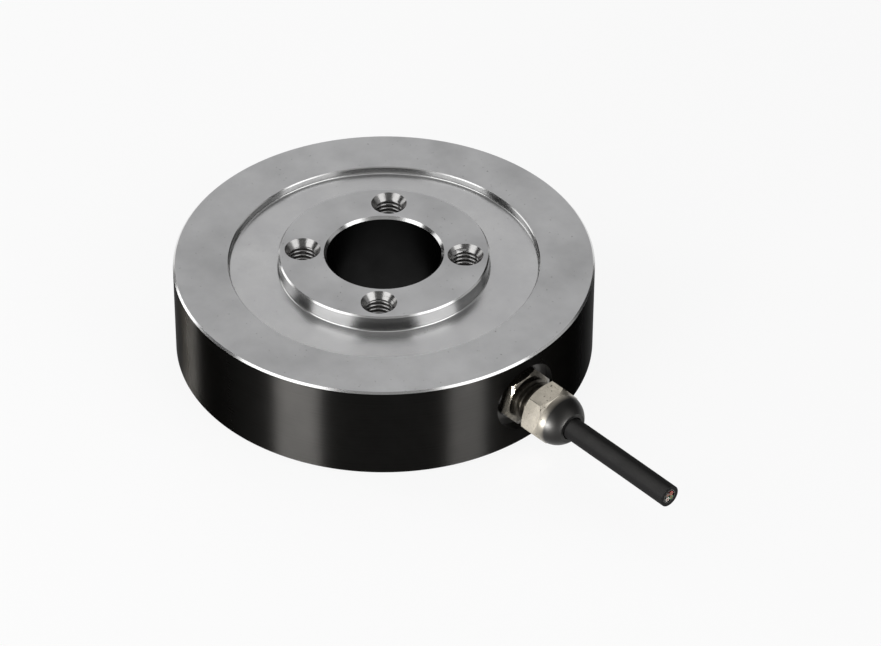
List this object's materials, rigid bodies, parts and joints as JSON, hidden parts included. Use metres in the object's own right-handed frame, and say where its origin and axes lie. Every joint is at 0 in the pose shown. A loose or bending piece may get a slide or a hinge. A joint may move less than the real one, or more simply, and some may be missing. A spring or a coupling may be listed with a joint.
{
  "type": "compression force sensor",
  "caption": "Ring-shaped compression force sensor with a raised load face around a through bore, tapped holes, and a side cable gland with a short cable.",
  "frame": {"origin": "centre of the ring's underside, on the load axis", "axes": "+Z along the load axis, out of the raised load face; +X along the cable gland and the cable, away from the ring"},
  "size_m": [0.1618, 0.11, 0.0289],
  "materials": {
    "body_steel": "fine turned stainless steel, satin faces and a dark polished side",
    "cover_steel": "thin rolled stainless sheet",
    "nickel_plated_brass": "nickel plated, satin",
    "black_jacket": "matt extruded PVC",
    "braid": "tinned copper braid",
    "red_insulation": "smooth",
    "black_insulation": "smooth",
    "green_insulation": "smooth",
    "white_insulation": "smooth",
    "nitrile_rubber": "matt",
    "grey_nylon": "moulded",
    "gauge_film": "amber film with an etched foil grid",
    "flex_print": "amber film with copper tracks",
    "tinned_ribbon": "tinned copper",
    "resistor_body": "ceramic chip with a dark glaze"
  },
  "bodies": {
    "root": {"sensor_body": "body_steel", "bottom_cover": "cover_steel", "gland_body": "nickel_plated_brass", "cap_nut": "nickel_plated_brass", "cable": "black_jacket", "cable_in_gland": "black_jacket", "cable_shield": "braid", "core_red": "red_insulation", "core_black": "black_insulation", "core_green": "green_insulation", "core_white": "white_insulation", "gland_gasket": "nitrile_rubber", "seal_sleeve": "nitrile_rubber", "clamp_cage": "grey_nylon", "strain_gauge_inner_1": "gauge_film", "strain_gauge_inner_2": "gauge_film", "strain_gauge_inner_3": "gauge_film", "strain_gauge_inner_4": "gauge_film", "strain_gauge_outer_1": "gauge_film", "strain_gauge_outer_2": "gauge_film", "strain_gauge_outer_3": "gauge_film", "strain_gauge_outer_4": "gauge_film", "terminal_ring": "flex_print", "gauge_leads": "tinned_ribbon", "zero_trim_resistor": "resistor_body", "zero_temp_resistor": "resistor_body", "span_resistor": "resistor_body", "span_temp_resistor": "resistor_body"}
  },
  "joints": []
}
